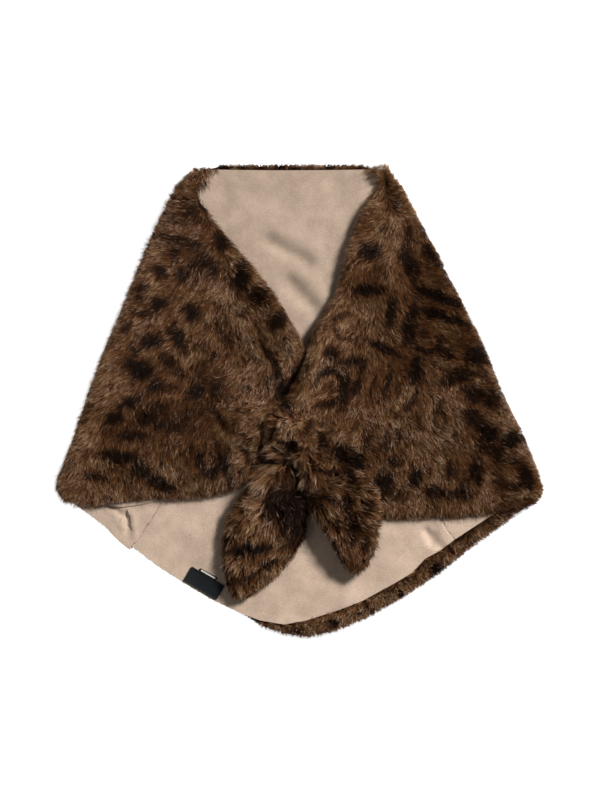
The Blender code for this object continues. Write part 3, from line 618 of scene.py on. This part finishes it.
def nap_at(points, node, under):
    """Level direction of the hair at each root."""
    if under:
        turn = np.full(len(points), np.radians(UNDER_NAP[node]))
    else:
        table = np.array(NAP[node])
        away = np.linalg.norm(points[:, None, :2] - table[None, :, :2], axis=2)
        weight = 1 / (away**2 + NAP_REACH**2) ** 2
        headings = np.radians(table[:, 2])
        turn = np.arctan2(weight @ np.sin(headings), weight @ np.cos(headings))
    turn += np.radians(layers(points, NAP_WAVES))
    if not under:
        for x, y, radius, degrees in STIRRED:
            near = np.exp(-((np.hypot(points[:, 0] - x, points[:, 1] - y) / radius) ** 2))
            turn += near * np.radians(degrees) * waves(points, STIR_SIZE, STIR_SEED)
    return np.stack([np.cos(turn), np.sin(turn), np.zeros(len(turn))], axis=-1)


def laid_along(heading, normals, under, level):
    """Turns a level heading with the surface, as the cloth turns it round a fold, or less far."""
    if under:
        return unit(heading - (heading * normals).sum(1, keepdims=True) * normals)
    out = (heading * normals).sum(1, keepdims=True) / np.maximum(1 + normals[:, 2:], LEAST_RISE)
    turned = unit(heading - out * (normals + np.array((0.0, 0.0, 1.0))))
    return unit(level * heading + (1 - level) * turned)


def wall_depth(points, normals, tree):
    """Thickness of the cloth below each point."""
    depths = []
    for point, normal in zip(points.tolist(), normals.tolist()):
        inward = -Vector(normal)
        hit = tree.ray_cast(Vector(point) + inward * WALL_START, inward, WALL_REACH)
        depths.append(hit[3] if hit[0] is not None else WALL_MISSED)
    return np.array(depths)


def proud_of(points, tree):
    """How far each point stands outside a closed surface, or below 0 inside it."""
    out = []
    for point in points.tolist():
        near, normal, _, distance = tree.find_nearest(point)
        outside = (Vector(point) - near).dot(normal) > 0
        out.append(distance if outside else -distance)
    return np.array(out)


# ------------ hairs


def comb(roots, headings, normals, area, coat, draw):
    """Gathers the hairs into locks. Gives each hair's heading, the locks' pull on its tip, and its locks."""
    pull = np.zeros((len(roots), 3))
    locks = []
    for size, share, stray in zip(coat.locks, coat.pull, coat.stray):
        count = min(max(2, int(area / size**2)), len(roots))
        centres = roots[draw.choice(len(roots), count, replace=False)]
        home = nearest(roots, centres)
        turn = np.radians(stray) * draw.normal(size=len(centres))[home, None]
        headings = headings * np.cos(turn) + np.cross(normals, headings) * np.sin(turn)
        pull += share * (centres[home] - roots)
        locks.append(home)
    return headings, pull, locks


def hair_lengths(points, coarse, coat, draw):
    """Length of each hair, and how far its tip may stand proud."""
    length = coat.length * (1 + coat.spread * draw.normal(size=len(points))).clip(*LENGTH_LIMITS)
    length *= 1 + LOCK_LENGTH * draw.normal(size=coarse.max() + 1)[coarse]
    allowed = coat.over * draw.gamma(*PROUD_DRAW, len(points))
    for x, y, radius, extra in BRIDGED:
        near = 1 - ease(np.hypot(points[:, 0] - x, points[:, 1] - y), BRIDGE_FULL * radius, radius)
        allowed += extra * near
        length *= 1 + near * extra / coat.length
    for x1, x2, y1, y2, below in TURNED_IN:
        beside = np.maximum(x1 - points[:, 0], points[:, 0] - x2)
        inside = (points[:, 1] > y1) & (points[:, 1] < y2) & (points[:, 2] < below)
        allowed *= np.where(inside, ease(beside, -TURNED_OVER, TURNED_OVER), 1.0)
    return length, allowed


def cut_back(roots, middles, tips, allowed, tree):
    """Shortens the hairs whose tips stand out further than they may."""
    for _ in range(CUT_ROUNDS):
        too_far = np.flatnonzero(proud_of(tips, tree) > allowed)
        if not len(too_far):
            break
        for part in (middles, tips):
            part[too_far] = roots[too_far] + CUT_TO * (part[too_far] - roots[too_far])


def kites(roots, middles, tips, normals, width, draw):
    """Corners of every hair, as root, left, right and tip."""
    half = width * draw.uniform(*WIDTH_LIMITS, len(roots))[:, None] / 2
    twist = np.radians(TWIST) * draw.uniform(-1, 1, len(roots))[:, None]
    across = unit(np.cross(tips - roots, normals))
    side = unit(across * np.cos(twist) + normals * np.sin(twist)) * half
    corners = np.stack([roots, middles - side, middles + side, tips], axis=1)
    corners[..., 2] = np.maximum(corners[..., 2], FLOOR_CLEAR)
    return corners


def hair_uvs(seen, fine, node, under, draw):
    """UVs of every hair's corners. seen is where each hair shows, and fine is its fine lock."""
    count, locks = len(seen), fine.max() + 1
    seen = seen + SEEN_SPREAD * draw.normal(size=(locks, 3))[fine]
    tone, plain = print_and_shade_tone(seen, node, under)
    tone = tone * (1 + LOCK_TONE * draw.normal(size=locks)[fine]) + HAIR_TONE * draw.normal(size=count)
    chance = frost_share(seen, under) * (1 - PLAIN_SHARE * plain)
    lit = LOCK_LIT * draw.random(locks)[fine] + (1 - LOCK_LIT) * draw.random(count)
    frost = ease(FROST_GAIN * chance + FROST_LEAST - lit, *FROST_SOFT) * draw.uniform(*FROST_DRAW, count)
    body = BODY_V + LOCK_SHADE * draw.normal(size=locks)[fine] + HAIR_SHADE * draw.normal(size=count)
    body = np.clip(body + FROST_LIFT * (frost - 0.5), *BODY_LIMITS)
    tip = np.clip(body + TIP_RISE + FROST_RISE * frost, *TIP_LIMITS)
    tone = np.clip(tone, *TONE_LIMITS)
    u = np.stack([tone, tone - U_HALF_WIDTH, tone + U_HALF_WIDTH, tone], axis=1)
    v = np.stack([np.full(count, ROOT_V), body, body, tip], axis=1)
    return np.stack([u, v], axis=-1)


def hairs(skin, count, coat, under, seed):
    """Corners and UVs of this many hairs on a skin."""
    draw = np.random.default_rng(seed)
    tree = surfaces[skin.node].tree
    points, normals = scatter(skin, count, draw)
    headings = laid_along(nap_at(points, skin.node, under), normals, under, coat.level)
    headings, pull, (coarse, fine) = comb(points, headings, normals, skin.areas.sum(), coat, draw)
    length, allowed = hair_lengths(points, coarse, coat, draw)
    depth = np.minimum(coat.depth, ROOT_SHARE * wall_depth(points, normals, tree))
    length *= SHALLOW_LENGTH + (1 - SHALLOW_LENGTH) * depth / coat.depth
    lift = np.radians(coat.lift + LIFT_SPREAD * draw.normal(size=count))[:, None]
    lay = np.radians(coat.lay + LAY_SPREAD * draw.normal(size=count))[:, None]
    half = length[:, None] / 2
    roots = points - normals * depth[:, None]
    middles = roots + half * (headings * np.cos(lift) + normals * np.sin(lift)) + MIDDLE_PULL * pull
    tips = middles + half * (headings * np.cos(lay) + normals * np.sin(lay)) + (1 - MIDDLE_PULL) * pull
    cut_back(roots, middles, tips, allowed, tree)
    corners = kites(roots, middles, tips, normals, coat.width, draw)
    seen = middles + SEEN_AT * (tips - middles)
    return corners, hair_uvs(seen, fine, skin.node, under, draw)


def hair_mesh(name, batches, material):
    """One piece of all the hairs in these batches."""
    corners = np.concatenate([batch[0] for batch in batches]).reshape(-1, 3) * MM
    uvs = np.concatenate([batch[1] for batch in batches]).reshape(-1, 2)
    count = len(corners) // 4
    faces = (np.arange(count)[:, None, None] * 4 + np.array(((0, 2, 1), (1, 2, 3)))).reshape(-1, 3)
    mesh = bpy.data.meshes.new(name)
    mesh.vertices.add(len(corners))
    mesh.vertices.foreach_set("co", corners.astype(np.float32).ravel())
    mesh.loops.add(faces.size)
    mesh.loops.foreach_set("vertex_index", faces.astype(np.int32).ravel())
    mesh.polygons.add(len(faces))
    mesh.polygons.foreach_set("loop_start", np.arange(0, faces.size, 3, dtype=np.int32))
    mesh.update(calc_edges=True)
    mesh.uv_layers.new(name=UV_MAP).data.foreach_set("uv", uvs[faces.ravel()].astype(np.float32).ravel())
    return add_piece(name, mesh, material)


def add_object(name, data):
    made = bpy.data.objects.new(name, data)
    bpy.context.scene.collection.objects.link(made)
    return made


def add_piece(name, mesh, material, node=None, sharp=False):
    """A piece of the scarf, in the place of a CAD node if one is named."""
    mesh.shade_smooth()
    if sharp:
        mesh.set_sharp_from_angle(angle=np.radians(SHARP_OVER))
    mesh.materials.append(material)
    piece = add_object(name, mesh)
    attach(piece, ROOT_BODY)
    if node:
        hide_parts(node)
    return piece


def add_pile(pile, material, seed):
    skins = [skin_of(node, pile.under) for node in pile.nodes]
    total = sum(skin.areas.sum() for skin in skins)
    batches = []
    for skin in skins:
        count = int(pile.count * skin.areas.sum() / total)
        batches.append(hairs(skin, count, pile.coat, pile.under, seed + len(batches)))
    return hair_mesh(pile.name, batches, material)


# ------------ backing and lining


def add_core(node, material):
    """The backing and the dark undercoat: the node's own form, drawn in below the hairs."""
    surface = surfaces[node]
    reach = np.minimum(CORE_INSET, CORE_SHARE * wall_depth(surface.points, surface.normals, surface.tree))
    points = surface.points - surface.normals * reach[:, None]
    met = touches(surface.points, node, FUR_NODES)
    points[met, :2] = close_gaps(surface.points[met], node, FUR_NODES)[:, :2]
    mesh = bpy.data.meshes.new("core_" + node)
    mesh.from_pydata((points * MM).tolist(), [], surface.triangles.tolist())
    return add_piece(mesh.name, mesh, material, node)


def lining_rise(xy):
    """How far the lining stands off its level: creases, rolls, seams and a slight swell."""
    rise = layers(xy, LINING_WAVES)
    for x1, y1, x2, y2, height, half in LINING_FOLDS:
        rise += height * np.exp(-((line_distance(xy, x1, y1, x2, y2) / half) ** 2))
    for x1, y1, x2, y2 in SEAMS:
        rise -= SEAM_DEPTH * np.exp(-((line_distance(xy, x1, y1, x2, y2) / SEAM_WIDTH) ** 2))
    return rise


def slice_up(body, faces, cell):
    """Cuts these faces along a square grid, so that a level face can bend."""
    for axis in (Vector((1, 0, 0)), Vector((0, 1, 0))):
        places = [vertex.co.dot(axis) for face in faces for vertex in face.verts]
        for place in np.arange(min(places) + cell, max(places), cell):
            edges = {edge for face in faces for edge in face.edges}
            corners = {vertex for face in faces for vertex in face.verts}
            parts = [*corners, *edges, *faces]
            spot = axis * place
            cut = bmesh.ops.bisect_plane(body, geom=parts, dist=CUT_SNAP, plane_co=spot, plane_no=axis)
            faces = [part for part in cut["geom"] if isinstance(part, bmesh.types.BMFace)]


def add_lining(node, material):
    """A lining, cut finely enough to carry its creases and seams."""
    body = welded(node)
    flat = np.radians(LINING_FLAT)
    bmesh.ops.dissolve_limit(body, angle_limit=flat, verts=body.verts, edges=body.edges)
    slice_up(body, list(body.faces), LINING_CELL * MM)
    for x1, y1, x2, y2 in FINE_AREAS:
        middles = [(face, face.calc_center_median() / MM) for face in body.faces]
        inside = [face for face, (x, y, _) in middles if x1 < x < x2 and y1 < y < y2]
        if inside:
            slice_up(body, inside, FINE_CELL * MM)
    bmesh.ops.triangulate(body, faces=body.faces)
    points = close_gaps(np.array([vertex.co for vertex in body.verts]) / MM, node, LINING_NODES)
    free = 1 - ease(points[:, 2], *PRESSED_ABOVE)
    points[:, 2] += free * lining_rise(points[:, :2])
    if node == "lining_left":
        x, half, y, out = TURNED_OUT
        at_hem = (points[:, 2] > TURNED_OUT_ABOVE) * ease(-points[:, 1], -y, TURNED_OUT_FADE - y)
        points[:, 1] -= out * at_hem * np.exp(-(((points[:, 0] - x) / half) ** 4))
    for vertex, point in zip(body.verts, points * MM):
        vertex.co = point
    mesh = bpy.data.meshes.new("cloth_" + node)
    body.to_mesh(mesh)
    body.free()
    return add_piece(mesh.name, mesh, material, node, sharp=True)


# ------------ labels


def add_label(name, label, material):
    """A woven label that follows the lining below it, with its corners a little up."""
    columns, rows = int(label.length) + 1, int(label.width) + 1
    across = np.linspace(-0.5, 0.5, columns)
    up = np.linspace(-0.5, 0.5, rows)
    a, b = (part.ravel() for part in np.meshgrid(across, up))
    turn = np.radians(label.turn)
    x = label.x + a * label.length * np.cos(turn) - b * label.width * np.sin(turn)
    y = label.y + a * label.length * np.sin(turn) + b * label.width * np.cos(turn)
    xy = np.column_stack([x, y])
    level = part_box("lining_back")[1].z / MM + lining_rise(xy) + label.over
    level += label.curl * (np.abs(2 * a) ** CURL_ALONG + np.abs(2 * b) ** CURL_ACROSS) / 2
    edge = np.minimum((0.5 - np.abs(a)) * label.length, (0.5 - np.abs(b)) * label.width)
    thick = label.thickness * np.where(edge < LABEL_BORDER, 1.0, LABEL_FIELD)
    top = np.column_stack([xy, level + thick])
    bottom = np.column_stack([xy, level])
    faces = []
    lower = len(top)
    for row in range(rows - 1):
        for column in range(columns - 1):
            i = row * columns + column
            quad = (i, i + 1, i + columns + 1, i + columns)
            faces.append(quad)
            faces.append(tuple(lower + corner for corner in reversed(quad)))
    grid = np.arange(lower).reshape(rows, columns)
    rim = np.concatenate([grid[0], grid[1:, -1], grid[-1, -2::-1], grid[-2:0:-1, 0]]).tolist()
    for i, j in zip(rim, rim[1:] + rim[:1]):
        faces.append((i, lower + i, lower + j, j))
    mesh = bpy.data.meshes.new("woven_" + name)
    mesh.from_pydata((np.vstack([top, bottom]) * MM).tolist(), [], faces)
    node = name if name in LABELS else None
    return add_piece(mesh.name, mesh, material, node, sharp=True)


# ------------ materials


class Nodes:
    """A material's node tree, with short ways to add to it."""

    def __init__(self, name, roughness, specular):
        self.material = bpy.data.materials.new(name)
        self.material.use_nodes = True
        self.tree = self.material.node_tree
        self.shader = self.tree.nodes["Principled BSDF"]
        self.set("Roughness", roughness)
        self.set("Specular IOR Level", specular)

    def set(self, entry, value):
        """Sets one of the shader's own values."""
        self.shader.inputs[entry].default_value = value

    def add(self, kind, **settings):
        node = self.tree.nodes.new(kind)
        for key, value in settings.items():
            setattr(node, key, value)
        return node

    def link(self, output, entry):
        self.tree.links.new(output, entry)

    def ramp(self, source, stops):
        """A colour ramp of (place, colour or grey) stops."""
        node = self.add("ShaderNodeValToRGB")
        elements = node.color_ramp.elements
        while len(elements) < len(stops):
            elements.new(0.5)
        for element, (place, colour) in zip(elements, stops):
            element.position = place
            red, green, blue = colour if isinstance(colour, tuple) else (colour,) * 3
            element.color = (red, green, blue, 1.0)
        self.link(source, node.inputs["Fac"])
        return node.outputs["Color"]

    def place(self):
        """The place in the object's own space, in metres."""
        return self.add("ShaderNodeTexCoord").outputs["Object"]

    def noise(self, scale, detail=3.0, turn=0.0, stretch=None):
        """Noise with features of about 1 / scale metres, turned and stretched where asked."""
        place = self.place()
        if stretch:
            mapping = self.add("ShaderNodeMapping")
            mapping.inputs["Rotation"].default_value = (0.0, 0.0, np.radians(turn))
            mapping.inputs["Scale"].default_value = stretch
            self.link(place, mapping.inputs["Vector"])
            place = mapping.outputs["Vector"]
        node = self.add("ShaderNodeTexNoise")
        node.inputs["Scale"].default_value = scale
        node.inputs["Detail"].default_value = detail
        self.link(place, node.inputs["Vector"])
        return node.outputs["Fac"]

    def mix(self, blend, factor, a, b):
        """Two colours mixed. Entries 0, 6 and 7 of a colour mix are its factor and its two colours."""
        node = self.add("ShaderNodeMix", data_type="RGBA", blend_type=blend)
        for entry, value in ((node.inputs[0], factor), (node.inputs[6], a), (node.inputs[7], b)):
            if isinstance(value, bpy.types.NodeSocket):
                self.link(value, entry)
            else:
                entry.default_value = value
        return node.outputs[2]

    def bump(self, heights, strength, distance):
        node = self.add("ShaderNodeBump")
        node.inputs["Strength"].default_value = strength
        node.inputs["Distance"].default_value = distance * MM
        self.link(heights, node.inputs["Height"])
        self.link(node.outputs["Normal"], self.shader.inputs["Normal"])

    def colour(self, output):
        self.link(output, self.shader.inputs["Base Color"])


def fur_material():
    nodes = Nodes("fur_hairs", roughness=0.65, specular=0.08)
    split = nodes.add("ShaderNodeSeparateXYZ")
    nodes.link(nodes.add("ShaderNodeUVMap", uv_map=UV_MAP).outputs["UV"], split.inputs["Vector"])
    tone = nodes.ramp(split.outputs["X"], TONES)
    shade = nodes.ramp(split.outputs["Y"], SHADES)
    frost = nodes.ramp(split.outputs["Y"], FROSTS)
    shaded = nodes.mix("MULTIPLY", 1.0, tone, shade)
    nodes.colour(nodes.mix("MIX", frost, shaded, FROST_COLOUR))
    return nodes.material


def core_material():
    nodes = Nodes("fur_backing", roughness=0.90, specular=0.10)
    nodes.colour(nodes.ramp(nodes.noise(scale=180.0), CORE_COLOURS))
    nodes.bump(nodes.noise(scale=900.0), strength=0.6, distance=1.0)
    return nodes.material


def lining_material():
    nodes = Nodes("brushed_lining", roughness=0.95, specular=0.12)
    nodes.set("Sheen Weight", 0.25)
    nodes.set("Sheen Roughness", 0.6)
    cloudy = nodes.noise(scale=55.0, detail=4.0)
    brushed = nodes.noise(scale=420.0, detail=4.0, turn=55.0, stretch=(1.0, 2.2, 1.0))
    both = nodes.mix("MIX", 0.5, cloudy, brushed)
    # Painted shade: the lining is darkened towards the neck
    split = nodes.add("ShaderNodeSeparateXYZ")
    nodes.link(nodes.place(), split.inputs["Vector"])
    height = nodes.add("ShaderNodeMapRange")
    nodes.link(split.outputs["Y"], height.inputs["Value"])
    height.inputs["From Min"].default_value = -PAINTED_SHADE_SPAN * MM
    height.inputs["From Max"].default_value = PAINTED_SHADE_SPAN * MM
    painted_shade = nodes.ramp(height.outputs["Result"], LINING_PAINTED_SHADE)
    nodes.colour(nodes.mix("MULTIPLY", 1.0, nodes.ramp(both, LINING_COLOURS), painted_shade))
    fibres = nodes.noise(scale=1500.0, detail=2.0)
    nodes.bump(nodes.mix("MIX", 0.35, brushed, fibres), strength=0.55, distance=0.8)
    return nodes.material


def label_material(name, colours):
    nodes = Nodes(name, roughness=0.70, specular=0.15)
    along = -LABELS["label_main"].turn
    weave = nodes.noise(scale=2600.0, detail=1.0, turn=along, stretch=(1.0, 0.3, 1.0))
    nodes.colour(nodes.ramp(weave, colours))
    nodes.bump(weave, strength=0.5, distance=0.15)
    return nodes.material


# ------------ stage


def add_camera():
    data = bpy.data.cameras.new("camera")
    data.sensor_fit = "VERTICAL"
    data.sensor_height = SENSOR_HEIGHT
    data.lens = SENSOR_HEIGHT * CAMERA_DISTANCE / FRAME_HEIGHT
    data.clip_end = CAMERA_SEES_TO * MM
    camera = add_object("camera", data)
    camera.location = Vector((*FRAME_CENTRE, CAMERA_DISTANCE + CAMERA_AIM_HEIGHT)) * MM
    bpy.context.scene.camera = camera


def add_light(light):
    """An area light that points at the middle of the floor."""
    data = bpy.data.lights.new(light.name, "AREA")
    data.size = light.size
    data.energy = light.power
    data.color = LIGHT_COLOUR
    lamp = add_object(light.name, data)
    lamp.location = light.place
    lamp.rotation_euler = (-Vector(light.place)).to_track_quat("-Z", "Y").to_euler()


def add_stage():
    nodes = Nodes("white_floor", roughness=0.9, specular=0.0)
    nodes.set("Base Color", FLOOR_COLOUR)
    nodes.set("Emission Color", WHITE)
    nodes.set("Emission Strength", FLOOR_GLOW)
    mesh = bpy.data.meshes.new("floor")
    corners = [(FLOOR_REACH * x, FLOOR_REACH * y, 0) for x, y in ((-1, -1), (1, -1), (1, 1), (-1, 1))]
    mesh.from_pydata(corners, [], [(0, 1, 2, 3)])
    mesh.materials.append(nodes.material)
    add_object("floor", mesh)

    world = bpy.data.worlds.new("studio")
    world.use_nodes = True
    background = world.node_tree.nodes["Background"]
    background.inputs["Color"].default_value = WHITE
    background.inputs["Strength"].default_value = WORLD_STRENGTH
    bpy.context.scene.world = world
    for light in LIGHTS:
        add_light(light)
    bpy.context.scene.view_settings.view_transform = "Standard"


# ------------ scarf

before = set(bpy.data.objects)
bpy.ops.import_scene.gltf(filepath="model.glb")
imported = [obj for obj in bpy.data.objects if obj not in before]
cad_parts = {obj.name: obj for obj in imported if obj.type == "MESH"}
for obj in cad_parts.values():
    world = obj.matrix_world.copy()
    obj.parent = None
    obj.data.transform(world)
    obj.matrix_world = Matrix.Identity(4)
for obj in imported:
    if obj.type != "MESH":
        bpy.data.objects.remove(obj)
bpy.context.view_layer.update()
surfaces = {node: read_surface(node) for node in FUR_NODES + LINING_NODES}
add_camera()
add_stage()

fur = fur_material()
piles = {pile.name: add_pile(pile, fur, FIRST_SEED + SEED_STEP * index) for index, pile in enumerate(PILES)}
backing = core_material()
cores = {node: add_core(node, backing) for node in FUR_NODES}
cloth = lining_material()
linings = {node: add_lining(node, cloth) for node in LINING_NODES}
woven = label_material("woven_black", LABEL_COLOURS)
labels = {name: add_label(name, label, woven) for name, label in LABELS.items()}
labels["label_edge"] = add_label("label_edge", LABEL_EDGE, label_material("woven_light", LABEL_EDGE_COLOURS))
